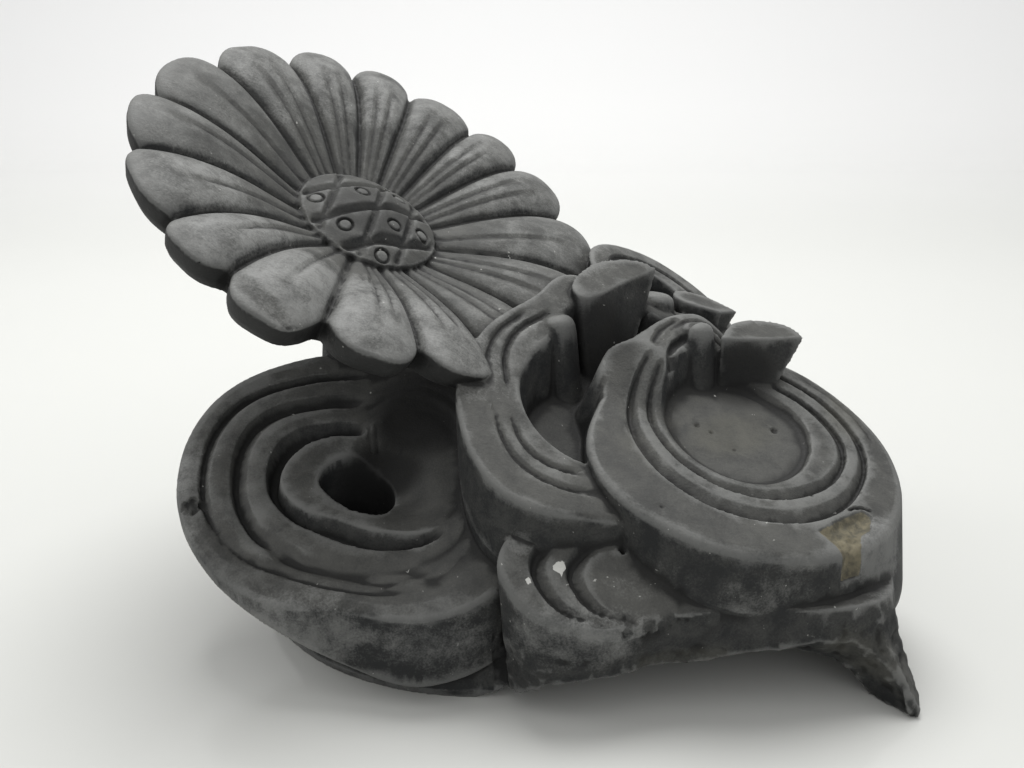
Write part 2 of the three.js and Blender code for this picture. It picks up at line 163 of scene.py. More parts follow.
def loft(name, rings):
    """A closed solid through rings of points, each the last one's edges extruded."""
    count = len(rings[0])
    bm = bmesh.new()
    turn = bm.verts.layers.int.new("turn")
    first = bmesh.ops.create_circle(bm, segments=count, radius=1.0)["verts"]
    for number, vert in enumerate(first):
        vert[turn] = number
        vert.co = rings[0][number]
    edges = list(bm.edges)
    bmesh.ops.contextual_create(bm, geom=edges)
    for ring in rings[1:]:
        edges, corners = extrude(bm, edges)
        for vert in corners:
            vert.co = ring[vert[turn]]
    bmesh.ops.contextual_create(bm, geom=edges)
    caps = [face for face in bm.faces if len(face.verts) > 4]
    bmesh.ops.poke(bm, faces=caps)
    bmesh.ops.triangulate(bm, faces=bm.faces[:])
    bmesh.ops.recalc_face_normals(bm, faces=bm.faces[:])
    return make_object(name, bm)


def apply_modifier(piece, kind, **settings):
    """One modifier, added and made part of the mesh."""
    modifier = piece.modifiers.new(kind.lower(), kind)
    for key, value in settings.items():
        setattr(modifier, key, value)
    bpy.context.view_layer.update()
    graph = bpy.context.evaluated_depsgraph_get()
    mesh = bpy.data.meshes.new_from_object(piece.evaluated_get(graph))
    piece.modifiers.clear()
    old = piece.data
    piece.data = mesh
    bpy.data.meshes.remove(old)


def combine(piece, others, operation):
    """Joins other solids to a piece, or cuts them out of it, and removes them."""
    for other in others:
        apply_modifier(piece, "BOOLEAN", operation=operation, solver="MANIFOLD", object=other)
        mesh = other.data
        bpy.data.objects.remove(other)
        bpy.data.meshes.remove(mesh)


def points_of(mesh):
    values = np.empty(len(mesh.vertices) * 3)
    mesh.vertices.foreach_get("co", values)
    return values.reshape(-1, 3)


def normals_of(mesh):
    values = np.empty(len(mesh.vertices) * 3)
    mesh.vertex_normals.foreach_get("vector", values)
    return values.reshape(-1, 3)


def place_points(mesh, points):
    mesh.vertices.foreach_set("co", points.ravel())
    mesh.update()


# Scrolls

def scroll(name, at, lean, rings):
    """Rings given as (radius, height over a leaning face), or (radius, level) where marked."""
    a = angles(len(rings[0][0]))
    made = []
    for radius, height, *mark in rings:
        x, y = radius * np.cos(a), radius * np.sin(a)
        rise = height if mark else at[2] + lean[0] * x + lean[1] * y + height
        made.append(np.column_stack([at[0] + x, at[1] + y, rise + 0 * x]))
    return loft(name, made)


def groove(outer, inner, depth, land):
    """Steep outer wall, floor close inside it, slope up to the inner edge."""
    return [(outer, land), (mix(outer, inner, 0.18), land - depth), (inner, land)]


LEFT_AT = (-68, -33, 76.3)
LEFT_LEAN = (0.034, 0.523)
LEFT_EYE = closed_curve(16, 15, 14, 13, 13, 16, 18, 15, 14, 16, 18, 16)


def left_scroll(count):
    a = angles(count)
    rim = closed_curve(70, 64, 64, 68, 76, 86, 82, 72, 64, 60, 73.5, 86)(a)
    edge1 = closed_curve(60, 58, 56, 55, 63, 76, 72, 63, 53, 53, 62, 66)(a)
    band2 = closed_curve(58, 56, 54, 51, 58, 70, 67, 59, 49, 50, 59, 64)(a)
    edge2 = closed_curve(55, 53, 49, 43, 50, 62, 58, 52, 45, 46, 55, 61)(a)
    band3 = closed_curve(53, 51, 46, 36, 42, 53, 50, 45, 39, 41, 50, 58)(a)
    edge3 = closed_curve(50, 48, 42, 29, 34, 44, 42, 35, 30, 32, 40, 52)(a)
    band4 = closed_curve(47, 45, 36, 22, 25, 32, 35, 28, 22, 23, 31, 47)(a)
    wall = closed_curve(30, 30, 24, 18, 15, 13, 12, 12, 18, 32, 38, 34)(a)
    root = closed_curve(34, 40, 50, 62, 62, 50, 36, 22, 8, 5, 5, 14)(a)
    eye = LEFT_EYE(a)
    ramp = arc(a, -56, 92, 42)
    ramp_foot = arc(a, -84, 118, 74)
    cut1 = 4.5 * arc(a, 86, 208, 20) + 2 * arc(a, 200, 300, 26)
    cut2 = 5.5 * arc(a, 86, 228, 20) + 2.6 * arc(a, 214, 296, 24)
    cut3 = 8.5 * arc(a, 86, 328, 18)
    tongue = arc(a, 220, 300, 14)
    return scroll("left_scroll", LEFT_AT, LEFT_LEAN, [
        (0.52 * rim, root, "level"),
        (rim - 6 - 4 * arc(a, 190, 262, 30), -wall - 1),
        (rim - 0.5, 4 - wall),
        (rim, 12 * ramp - 2),
        (rim - 1.2, 12 * ramp - 0.6),
        (mix(rim, edge1, 0.5), 11 * ramp + 0.7),
        (edge1, 10 * ramp),
        (mix(edge1, band2, 0.25), 10 * ramp - cut1),
        (band2, 9 * ramp - 2 * tongue),
        (mix(band2, edge2, 0.5), 8.5 * ramp - 2.1 * tongue + 0.5),
        (edge2, 8 * ramp - 2.6 * tongue),
        (mix(edge2, band3, 0.3), 8 * ramp - cut2),
        (band3, 7 * ramp - 0.6),
        (mix(band3, edge3, 0.5), 6.5 * ramp),
        (edge3, 6 * ramp - 0.6),
        (mix(edge3, band4, 0.3), 4 * ramp - cut3),
        (mix(edge3, band4, 0.75), 3 * ramp - cut3),
        (band4, 2 * ramp),
        (mix(band4, eye, 0.5), -4.5 * ramp_foot),
        (eye, -11 * ramp_foot - 0.5),
    ])


def left_eye_cutter():
    a = angles(48)
    rings = []
    for down, wide in ((-60, 1.15), (-12, 0.98), (8, 1.02)):
        r = LEFT_EYE(a) * wide
        rings.append(np.column_stack([
            LEFT_AT[0] + r * np.cos(a), LEFT_AT[1] + r * np.sin(a),
            LEFT_AT[2] + LEFT_LEAN[1] * r * np.sin(a) + down]))
    return loft("left_eye", rings)


def middle_scroll(count):
    a = angles(count)
    rim = closed_curve(54, 50, 50, 56, 41, 40, 49, 64, 75, 66, 64, 58)(a)
    outer = closed_curve(49, 46, 46, 49, 36.5, 36, 43, 48, 60, 57, 56, 52)(a)
    inner = closed_curve(40, 40, 42, 43, 31.5, 31.5, 36, 40, 52, 49, 47, 42)(a)
    pocket = closed_curve(34, 34, 38, 37, 23, 19, 24, 33, 40, 42, 40, 36)(a)
    rise = 3 * arc(a, 70, 196, 40) - 23 * arc(a, -60, 84, 14)
    cut1 = 3 * arc(a, 134, 208, 16) + 3.2 * arc(a, 213, 279, 16)
    cut2 = 3.6 * arc(a, 114, 213, 16) + 3.6 * arc(a, 219, 270, 14)
    return scroll("middle_scroll", (32, -20, 119), (-0.33, 0.55), [
        (rim - 10, 24, "level"),
        (rim - 1, -34 + 0 * a),
        (rim, rise - 1.6),
        (rim - 1.4, rise),
        *groove(outer, outer - 3.4, cut1, rise),
        *groove(inner, inner - 3.4, cut2, rise),
        (pocket + 1, rise),
        (pocket, rise - 1.4),
        (pocket - 1.5, -24 + 0 * a),
    ])


def right_scroll(count):
    a = angles(count)
    rim = closed_curve(65, 58.5, 54, 50.5, 53, 53.5, 65, 81, 77, 70, 68.5, 68.5)(a)
    rim = rim + 6 * arc(a, 154, 180, 11)
    edge1 = closed_curve(53, 49, 45, 44, 47.5, 44.5, 53.5, 57, 56, 53, 52, 52)(a)
    band2 = closed_curve(49, 45.5, 42, 41, 45, 42.5, 48.5, 50, 48.5, 46, 45, 46.5)(a)
    edge2 = closed_curve(44, 40, 36.5, 37, 42, 39.5, 45, 45, 43, 41, 40, 42)(a)
    band3 = closed_curve(40, 36.5, 33.5, 34, 38.5, 37, 41, 40.5, 38, 35, 34, 37)(a)
    floor = closed_curve(27, 28, 27, 29, 32, 34.5, 36, 35.5, 33, 30, 27, 26)(a)
    lobe = arc(a, 78, 186, 34)
    side = arc(a, -64, 90, 34)
    flare = arc(a, 110, 200, 30)
    rise = 16 * lobe
    cut = (4.6 - 2.4 * lobe) * (1 - arc(a, 147, 163, 7))
    return scroll("right_scroll", (104, -28, 98.6), (-0.207, 0.38), [
        (rim - 8 + 10 * side, 22, "level"),
        (rim + 0.5 + 4.5 * side + 12 * flare, -27 - 12 * side),
        (rim + 0.6, rise - 2.8),
        (rim - 0.4, rise - 0.8),
        (rim - 2.2, rise),
        (edge1, rise),
        (mix(edge1, band2, 0.2), rise - cut),
        (band2, 0.96 * rise),
        (edge2, 0.9 * rise),
        (mix(edge2, band3, 0.2), 0.9 * rise - cut),
        (band3, 0.86 * rise - 0.5),
        (floor + 2.2, 0.8 * rise - 1),
        (floor, -4.4 + 0 * a),
        (floor - 2, -4.9 + 0 * a),
    ])


def rear_scroll(count):
    a = angles(count)
    rim = closed_curve(48, 46, 42, 38, 34, 30, 27, 25, 23, 22, 26, 38)(a)
    cut = 3.5 * arc(a, -60, 170, 30)
    return scroll("rear_scroll", (66, 60, 138.8), (-0.5, 0.25), [
        (rim - 6, 20, "level"),
        (rim - 1, -22 + 0 * a),
        (rim, -1.6 + 0 * a),
        (rim - 2.4, 0 * a),
        *groove(rim - 10, rim - 14, cut, 0 * a),
        (rim * 0.5, -0.5 + 0 * a),
        (rim * 0.46, -12 + 0 * a),
    ])


def front_lobe(count):
    """Nested drops that share their upper right corner."""
    a = angles(count)
    x0 = closed_curve(97, 76, 55, 35, 19, 8, -3, -6, 1, 11, 23, 35, 47, 56, 75, 88)(a)
    y0 = closed_curve(-97, -92, -88, -84, -81, -80, -87, -95, -104, -108.5, -110, -109.7, -107,
                      -103.5, -100, -98)(a)
    head = arc(a, 96, 300, 36)

    def drop(shrink, up):
        x, y = mix(x0, 95, shrink), mix(y0, -96, shrink)
        return np.column_stack([x, y, 73.6 - 0.195 * (x - 19) + (y + 84) + up])

    foot = np.column_stack([mix(x0, 40, 0.1), mix(y0, -84, 0.2), 4 + 0 * a])
    return loft("front_lobe", [
        foot, drop(0, -4), drop(0.006, -1.4), drop(0.02, 0), drop(0.07, 0.5),
        drop(0.125, 0), drop(0.14, -5.5 * head), drop(0.2, 0), drop(0.235, 0.3),
        drop(0.27, 0), drop(0.285, -5 * head), drop(0.35, 0.2), drop(0.8, 0.6),
    ])


# Fingers and wedges in the scrolls

def finger(name, foot, head, radius):
    """Round finger from foot to head with a domed end."""
    a = angles(64)
    way = Vector(head) - Vector(foot)
    turn = Vector((0, 0, 1)).rotation_difference(way.normalized())
    rings = []
    for share, wide in ((0, 1), (0.8, 0.98), (0.9, 0.93), (0.95, 0.82), (0.985, 0.6), (1, 0.3)):
        r = radius * wide
        high = share * way.length
        rings.append([turn @ Vector((r * math.cos(t), r * math.sin(t), high)) + Vector(foot)
                      for t in a])
    return loft(name, rings)


def outline(points, corners, rounds=3):
    """A closed line with its corners cut round, except the ones named."""
    points = [(np.array(p, float), n in corners) for n, p in enumerate(points)]
    for _ in range(rounds):
        grown = []
        for (p, sharp), (q, _) in zip(points, points[1:] + points[:1]):
            grown.append((p, True) if sharp else (mix(p, q, 0.25), False))
            grown.append((mix(p, q, 0.75), False))
        points = grown
    return np.array([p for p, _ in points])


def wedge(name, foot, top, corners):
    """Block of cut clay between two outlines, smooth but for the named corners."""
    foot, top = outline(foot, corners), outline(top, corners)
    middle = top.mean(0)
    return loft(name, [foot, mix(foot, top, 0.5), mix(foot, top, 0.975), mix(top, middle, 0.015),
                       mix(top, middle, 0.5)])


def fingers_and_wedges():
    return [
        finger("middle_finger", (24, -3, 96), (20, 4, 140), 9),
        finger("right_finger", (86, 1, 98), (85, 9, 135), 8.4),
        finger("rear_finger", (67, 47, 100), (72, 54, 137), 10),
        wedge("middle_wedge",
              [(33, 10, 92), (33.5, 4, 92), (36, 0, 92), (40, 1, 92), (45, 8, 92), (51, 20, 92),
               (52, 34, 92), (44, 36, 92), (37, 28, 92), (33, 18, 92)],
              [(27, 20, 150), (29, 15, 147.5), (34, 13, 145), (40, 18, 145.5), (53, 31, 148.5),
               (71, 47, 151), (63, 49, 155), (47, 44, 157), (37, 36, 156), (30, 27, 153)], (5,)),
        wedge("right_wedge",
              [(96, 0, 98), (107, 0, 98), (118, 0, 98), (118, 10, 98), (112, 17, 98), (104, 16, 98),
               (98, 10, 98)],
              [(95, 1, 130), (115, 5, 128), (137, 12, 127), (131, 19, 131), (120, 20, 133),
               (110, 18, 134), (101, 11, 134)], (0, 2)),
        wedge("rear_wedge",
              [(84, 52, 108), (100, 50, 108), (104, 58, 108), (94, 66, 108), (84, 64, 108)],
              [(80, 54, 134), (104, 50, 128), (114, 58, 126), (98, 68, 132), (82, 66, 136)],
              (1, 2)),
    ]


# Flower

BOSS = 36
HEART = Vector((-69.7, 50, 173.8))
FACING = Vector((0.439, -0.299, 0.847)).normalized()
ACROSS = (Vector((1, 0, 0)) - FACING * FACING.x).normalized()
AWAY = FACING.cross(ACROSS)
SEAMS = (1, 28, 50, 67, 86, 103, 122, 147, 175, 199, 223, 241, 263, 286, 308, 334)
TIPS = (118, 119, 122, 121, 126, 123, 119, 117, 118, 121, 123, 127, 121, 117, 116, 116)
NOTCHES = (110, 110, 115, 118, 118, 115, 112, 107, 108, 110, 110, 108, 103, 101, 101, 104)
DISH = ((BOSS - 6, -2), (BOSS, 0.2), (46, 4.3), (62, 11), (80, 17), (98, 20), (112, 19.5),
        (121, 17.5), (140, 12))
VEINS = ((-0.2,), (-0.3, 0.25), (-0.25, 0.25), (-0.3, 0.2), (-0.25, 0.3), (-0.25, 0.25),
         (-0.2, 0.3), (0.1,), (-0.1,), (0.15,), (0.1,), (0.0,), (0.0, 0.4), (-0.2, 0.3),
         (-0.3, 0.1), (-0.3, 0.2))


def flower_place(points):
    """How far points lie across and away from the flower's middle, and over its plane."""
    flat = points - np.array(HEART)
    return (flat @ np.array(way) for way in (ACROSS, AWAY, FACING))


def on_flower(r, angle, height):
    """Points at a radius, an angle and a height over the flower's own plane."""
    x, y = r * np.cos(angle), r * np.sin(angle)
    return (np.array(HEART) + np.outer(x, ACROSS) + np.outer(y, AWAY)
            + np.outer(height + 0 * x, FACING))


def petals(per_petal, along):
    """Sixteen petals dished towards the boss, each with its own width, reach and veins."""
    side = np.linspace(-1, 1, per_petal, endpoint=False)
    s, angle, end, vein, half = [], [], [], [], []
    for k, start in enumerate(SEAMS):
        stop = (SEAMS[1:] + (SEAMS[0] + 360,))[k]
        edge = np.where(side < 0, NOTCHES[k], NOTCHES[(k + 1) % len(SEAMS)])
        s.append(side)
        angle.append(np.radians(mix(start, stop, (side + 1) / 2)))
        end.append(TIPS[k] - (TIPS[k] - edge) * np.abs(side) ** 3)
        vein.append(np.min([np.abs(side - v) for v in VEINS[k]], axis=0))
        half.append(np.full(per_petal, math.radians(stop - start) / 2))
    s, angle, end, vein, half = (np.concatenate(v) for v in (s, angle, end, vein, half))
    droop = arc(angle, 276, 366, 36)

    def ring(share, drop, inset=0.0):
        r = mix(BOSS, end - inset, share)
        crown = (1.5 + 5 * share) * np.abs(s) ** 2.4
        seam = (1.6 + share) * np.exp(-((1 - np.abs(s)) * half * r / 1.5) ** 2)
        line = 1.4 * np.exp(-(vein * half * r / 1.3) ** 2) * ease((0.84 - share) / 0.3)
        high = smooth_line(r, DISH) - crown - seam - line - 8 * share * droop
        return on_flower(r, angle, high - drop)

    rings = [on_flower(30 + 0 * s, angle, -20), ring(1, 15, 5), ring(1, 9, 1.4), ring(1, 2, -0.4),
             ring(1, 0.7, -0.2), ring(1, 0.1, 0.5)]
    rings += [ring(share, 0) for share in np.linspace(0.96, 0, along)]
    rings.append(on_flower(BOSS - 5 + 0 * s, angle, -3))
    return loft("petals", rings)


STEEP = (-20.4, 1.2, 19.2)
SLANT = (-55.5, -28, -0.6, 27)


def boss(count, steps):
    """Domed middle crossed by two sets of grooves; the rows step down towards the viewer."""
    a = angles(count)

    def ring(r, drop=0.0):
        x, y = r * np.cos(a), r * np.sin(a)
        u = x - 0.08 * y
        v = y - 0.85 * u + 0.4 * np.clip(u - 8, 0, 12)
        cut = 0 * a
        for c in STEEP:
            cut = np.maximum(cut, 2.4 * ease(1 - np.abs(u - c) / 2.2))
        for c in SLANT:
            cut = np.maximum(cut, 3.6 * (1 - np.where(v > c, (v - c) / 6.2, (c - v) / 2.6)))
        rim = ease((BOSS - 1.2 - r) / 2.5)
        dome = 9.2 - 8.6 * r * r / 1300
        return on_flower(r + 0 * a, a, dome - cut * rim + 0.5 * (1 - rim) - drop)

    radii = np.linspace(BOSS - 1.6, 0.6, steps)
    return loft("boss", [on_flower(BOSS - 1 + 0 * a, a, -12), on_flower(BOSS - 1 + 0 * a, a, -2),
                         ring(BOSS - 1, 0.8)] + [ring(r) for r in radii])


def stem():
    """Broad, flat stem under the flower, growing out of the left scroll."""
    a = angles(64)
    rings = []
    for level, wide in ((60, 1.25), (84, 1.1), (98, 1.04), (118, 1), (None, 1.15)):
        x, y = -58 + 36 * wide * np.cos(a), 46 + 22 * wide * np.sin(a)
        under = HEART.z - 12 - (FACING.x * (x - HEART.x) + FACING.y * (y - HEART.y)) / FACING.z
        rings.append(np.column_stack([x, y, under if level is None else level + 0 * a]))
    return loft("stem", rings)


# Body under the carving

BODY = (20, 8)
ROUND_END = (-15, 18, 109)


def body_ring(count, level, right, front=99, inset=0, neck=0, corner=30, tilt=0, lift=0,
              back=(0, 0, 1)):
    """Outline of the body: a round end on the left, flat sides with soft corners on the right."""
    a = angles(count)
    c, s = np.cos(a), np.sin(a)
    far = 1e4
    limits = [np.where(c > 0, (right - BODY[0]) / np.where(c > 0, c, 1), far),
              np.where(s < 0, (BODY[1] + front) / np.where(s < 0, -s, 1), far),
              np.where(s > 0, 112 / np.where(s > 0, s, 1), far)]
    dx, dy = BODY[0] - ROUND_END[0], BODY[1] - ROUND_END[1]
    b = dx * c + dy * s
    rounded = -b + np.sqrt(b * b - dx * dx - dy * dy + (ROUND_END[2] - neck) ** 2)
    limits.append(np.where(c < 0.2, rounded, far))
    r = sum(limit ** -float(corner) for limit in limits) ** (-1 / corner) - inset
    x, y = BODY[0] + r * c, BODY[1] + r * s
    rise, start, end = back
    z = (level + tilt * (y + 90) + lift * np.clip(x / 50, 0, 1)
         + rise * ease((y - start) / (end - start)))
    return np.column_stack([x, y, z])


def hull(n):
    return loft("hull", [
        body_ring(n, 0, 171, front=106, inset=1.5, corner=70),
        body_ring(n, 4, 170.5, front=105.5, corner=60),
        body_ring(n, 16, 166, front=102, neck=3, corner=26),
        body_ring(n, 30, 164, neck=9, corner=12, back=(8, 20, 90)),
        body_ring(n, 38, 163, inset=0.5, neck=12, corner=8, lift=9, back=(24, 20, 90)),
        body_ring(n, 42, 162, inset=20, neck=12, corner=6, lift=9, back=(38, 10, 80)),
        body_ring(n, 45, 160, inset=58, neck=12, corner=5, lift=9, back=(50, -30, 45)),
    ])


def hollow(n):
    return loft("hollow", [
        body_ring(n, -2, 168, inset=17),
        body_ring(n, 16, 168, inset=17, neck=3, corner=16),
        body_ring(n, 26, 168, inset=22, neck=8, corner=7, tilt=0.06),
        body_ring(n, 32, 166, inset=38, neck=8, corner=5, tilt=0.22),
        body_ring(n, 34, 162, inset=66, neck=8, corner=5, tilt=0.33),
    ])


ARCH = ((-17, -1), (-6, 4), (4, 9.5), (14, 15.5), (28, 19), (46, 21.5), (76, 24.2), (102, 24.6),
        (118, 22.6), (130, 18.8), (138, 14.4), (143, 10.2), (147, 5.6), (150.5, -1))
# How much wider and higher the arch is for each millimetre of flare
FLARE_WIDE, FLARE_HIGH = 0.9, 1.35


def arch_cutter(name, slices):
    """The way under the body, wider and higher at a flared face, leaving feet at the right."""
    rings = []
    for y, flare in slices:
        line = [(ARCH[0][0], -6), (ARCH[-1][0] + FLARE_WIDE * flare, -6)]
        for x, z in reversed(ARCH):
            t = min(max((x - 92) / 36, 0), 1)
            line.append((x + FLARE_WIDE * flare * t,
                         z + FLARE_HIGH * flare * t * min(max(z / 12, 0), 1)))
        rings.append(np.array([(x, y, z) for x, z in line]))
    return loft(name, rings)


# Noise and marks on the finished skin

# Large odd numbers that scatter the noise, and how many keys there are
LATTICE_KEYS = (374761393, 668265263, 2147483647)
SEED_KEY, STIR, KEYS = 144269, 1274126177, 2 ** 32


def waves(points, size, seed, octaves=3):
    """Soft value noise from -1 to 1 over a lattice of the given size in millimetres."""
    total = np.zeros(len(points))
    for octave in range(octaves):
        p = points / size * 2.0 ** octave + 17.3 * octave
        cell = np.floor(p).astype(np.int64)
        f = p - cell
        f = f * f * (3 - 2 * f)
        value = 0
        for corner in range(8):
            step = np.array([corner & 1, corner >> 1 & 1, corner >> 2 & 1])
            q = cell + step
            key = q @ np.array(LATTICE_KEYS) + seed * SEED_KEY
            key = key % KEYS
            key = (key ^ key >> 13) * STIR % KEYS
            lattice = (key ^ key >> 16) % 65536 / 32767.5 - 1
            weight = np.prod(np.where(step, f, 1 - f), axis=1)
            value = value + weight * lattice
        total += value / 2.0 ** octave
    return total


def blob(points, centre, radii):
    """One at the centre of an ellipsoid, nothing at its surface and beyond."""
    x, y, z = (points - np.array(centre, float)).T
    far = np.sqrt((x / radii[0]) ** 2 + (y / radii[1]) ** 2 + (z / radii[2]) ** 2)
    return np.clip(1 - far, 0, 1)


def near_path(points, path):
    """Distance seen from above to a path of (x, y) points, and how far along it that is."""
    best = np.full(len(points), 1e9)
    along = np.zeros(len(points))
    path = np.array(path, float)
    lengths = np.linalg.norm(np.diff(path, axis=0), axis=1)
    done = 0.0
    for start, end, length in zip(path[:-1], path[1:], lengths):
        way = (end - start) / length
        d = points[:, :2] - start
        t = np.clip(d @ way, 0, length)
        gap = np.linalg.norm(d - np.outer(t, way), axis=1)
        closer = gap < best
        best[closer] = gap[closer]
        along[closer] = (done + t[closer]) / lengths.sum()
        done += length
    return best, along


def inside(points, line, low):
    """Millimetres inside a closed line seen from above; nothing outside it or below low."""
    gap, _ = near_path(points, line + line[:1])
    x, y = points[:, 0], points[:, 1]
    within = np.zeros(len(points), bool)
    for (ax, ay), (bx, by) in zip(line, line[1:] + line[:1]):
        across = (ay > y) != (by > y)
        within ^= across & (x < ax + (bx - ax) * (y - ay) / (by - ay))
    return gap * within * (points[:, 2] > low)


# Ring stamps on the boss: places across and away from the flower's middle
STAMPS = ((-27.5, -4.3), (-6.9, 10.9), (13, 24), (-11.5, -19.4), (11.6, -6.7), (27, -0.4),
          (9, -28.9))
STAMP_RADIUS, STAMP_LINE, STAMP_DEPTH = 3.4, 0.6, 1.5
# Shallow lines cut with a narrow tool: path seen from above, width, depth, least height
TOOL_LINES = (
    (((63, -9), (68, 2), (78, 14)), 2.6, 1.6, 120),
    (((69, -16), (74, -3), (87, 11)), 2.4, 1.5, 118),
    (((132, 15), (148, 3), (157, -8), (161, -18), (162, -28)), 1.8, 0.7, 86),
    (((-67, -5), (-64, -19)), 1.0, 0.5, 80),
    (((-63, -6), (-61, -19)), 1.0, 0.5, 80),
    (((-117, -54), (-89, -72), (-46, -79), (-24, -84)), 6.0, 1.1, 46),
    (((-3, -109), (15, -117), (34, -115), (46, -112)), 2.2, 0.5, 30),
    (((140, -67), (143, -65), (147, -64), (152, -65)), 0.9, 1.8, 70),
    (((40, -30), (38, -26), (41, -20)), 2.6, 0.6, 100),
)
# The share of a tool line at each end over which it runs out
RUN_OUT = 0.18
# Pits: place seen from above and radius
PITS = ((82, -27, 1.8), (88, -30, 1.4), (118, -21, 2.2), (97, -38, 1.2), (126, -62, 1.0),
        (60, -84, 1.2))
NICK = ((-140, -45, 67), (6, 6, 6))
# Where the lobe's edge has crumbled: place and size
CRUMBLED = ((46, -107, 45, 7.0), (54, -106, 44, 5.0), (63, -104, 45, 7.0), (71, -104, 44, 4.5))
CHIP_FLOOR = 56
CHIP_DEPTH = 2.4
CHIP = ((124, -81), (134, -73), (147, -64.5), (150.5, -68), (148, -76), (143, -80), (142, -88),
        (135, -95), (130, -87.3))


def carve_marks(points, normals):
    """Depth under the skin of tool lines, stamps, pits, chip, crumbling, nick and rough edge."""
    depth = np.zeros(len(points))
    rough = waves(points, 5.0, 3)
    for path, width, deep, floor in TOOL_LINES:
        gap, along = near_path(points, path)
        fade = ease(along / RUN_OUT) * ease((1 - along) / RUN_OUT)
        reach = np.clip(1 - gap / width, 0, 1)
        depth += deep * ease(reach) * fade * (points[:, 2] > floor) * (normals[:, 2] > -0.2)
    x, y, high = flower_place(points)
    up = (high > -2) & (x * x + y * y < BOSS ** 2)
    for a, b in STAMPS:
        r = np.hypot(x - a, y - b)
        depth += up * STAMP_DEPTH * np.exp(-((r - STAMP_RADIUS) / STAMP_LINE) ** 2)
    for px, py, size in PITS:
        r = np.hypot(points[:, 0] - px, points[:, 1] - py)
        depth += 0.9 * size * np.clip(1 - r / size, 0, 1) * (points[:, 2] > 60)
    fine = waves(points, 2.2, 5)
    depth += (np.minimum(0.75 * inside(points, CHIP, CHIP_FLOOR), CHIP_DEPTH)
              * (1 + 0.3 * rough + 0.2 * fine))
    for px, py, pz, size in CRUMBLED:
        spot = blob(points, (px, py, pz), (size, size, size))
        depth += 0.9 * ease(spot * 1.6 + 0.6 * rough + 0.3 * fine - 0.35) * ease(spot * 3)
    nick = blob(points, *NICK)
    depth += 1.6 * ease(nick * 2.2 + 0.5 * fine - 0.2) * (nick > 0)
    x, y, z = points.T
    arch_band = ease((34 - z) / 8) * ease((y + 112) / 4) * ease((-80 - y) / 6) * (x > -8)
    foot = ease((x - 118) / 18) * ease((46 - z) / 12) * ease((-70 - y) / 16)
    depth += np.maximum(arch_band, foot) * (0.5 + 0.8 * rough) * 0.9
    return depth


# Colour masks kept on the skin

def smooth_over(mesh, values, passes):
    """Values averaged with their neighbours along the edges, several times."""
    edges = np.empty(len(mesh.edges) * 2, np.int64)
    mesh.edges.foreach_get("vertices", edges)
    a, b = edges.reshape(-1, 2).T
    share = np.bincount(a, minlength=len(values)) + np.bincount(b, minlength=len(values))
    for _ in range(passes):
        total = (np.bincount(a, values[b], len(values)) + np.bincount(b, values[a], len(values)))
        values = 0.5 * values + 0.5 * total / np.maximum(share, 1)
    return values


def bend_of(mesh, points, normals, passes):
    """How far the skin stands proud of its surroundings, in millimetres; hollows are negative."""
    mean = np.column_stack([smooth_over(mesh, points[:, k].copy(), passes) for k in range(3)])
    return ((points - mean) * normals).sum(1)


# How silvery each petal is, partly painted sheen, in the order of SEAMS
BLOOM = (0.6, 0.7, 0.75, 0.75, 0.85, 0.75, 0.7, 0.4, 0.5, 0.75, 0.95, 1.0, 1.0, 0.9, 0.45, 0.45)
# Silvery patches elsewhere, partly painted sheen and light on lit walls: centre, radii and strength
SHEEN = (
    ((152, -74, 58), (24, 40, 24), 1.5), ((3, -88, 72), (11, 9, 9), 1.1),
    ((-96, -92, 32), (84, 50, 27), 1.15), ((-30, -106, 30), (60, 36, 27), 1.05),
    ((-136, -52, 62), (18, 40, 16), 0.5),
    ((-146, -22, 74), (20, 36, 16), 1.0), ((104, -100, 56), (46, 14, 22), 0.6),
    ((30, 10, 142), (16, 10, 10), 0.9), ((74, 50, 130), (12, 12, 12), 0.9),
    ((60, -96, 60), (40, 16, 16), 0.45), ((24, -108, 40), (50, 20, 24), 1.0),
)
# Spots of lime: place and size
PAINT = (((19, -93, 64), 2.7), ((6, -98, 61), 1.6), ((5, -92, 67), 1.5), ((-104, 88, 206), 1.2),
         ((-98, 80, 203), 1.0))
# Where dust lies
DUST = (
    ((96, -26, 94), (40, 38, 10), 0.65), ((140, -98, 20), (30, 14, 30), 0.6),
    ((60, -98, 24), (70, 12, 12), 0.5), ((45, 10, 120), (22, 30, 30), 0.4),
    ((66, -40, 100), (60, 50, 20), 0.35), ((150, 0, 90), (20, 40, 20), 0.6),
)
# Where smoke and dirt have left the clay nearly black
# Patches darkened nearly to the shade colour, mostly painted shade: under the flower, in the left
# eye, the pockets by the wedges, along the foot of the front wall and on the low rim band of the
# left scroll; the last one darkens the boss
DARK_SHADE_PATCHES = (
    ((-40, 10, 84), (44, 44, 40), 1.0), ((-58, -20, 70), (34, 22, 22), 0.8),
    ((20, -95, 20), (200, 20, 16), 0.3), ((-68, -33, 50), (24, 24, 30), 1.0),
    ((40, 10, 124), (36, 38, 36), 0.7), ((108, -4, 114), (32, 24, 22), 0.65),
    ((-84, -98, 59), (70, 26, 15), 0.75), ((-60, 60, 120), (60, 50, 46), 0.8),
    ((-67, 48, 180), (40, 40, 22), 0.5),
)


def strongest(points, patches, power):
    """The strongest of several soft patches at each point."""
    most = np.zeros(len(points))
    for centre, radii, amount in patches:
        most = np.maximum(most, amount * ease(blob(points, centre, radii) * power))
    return most


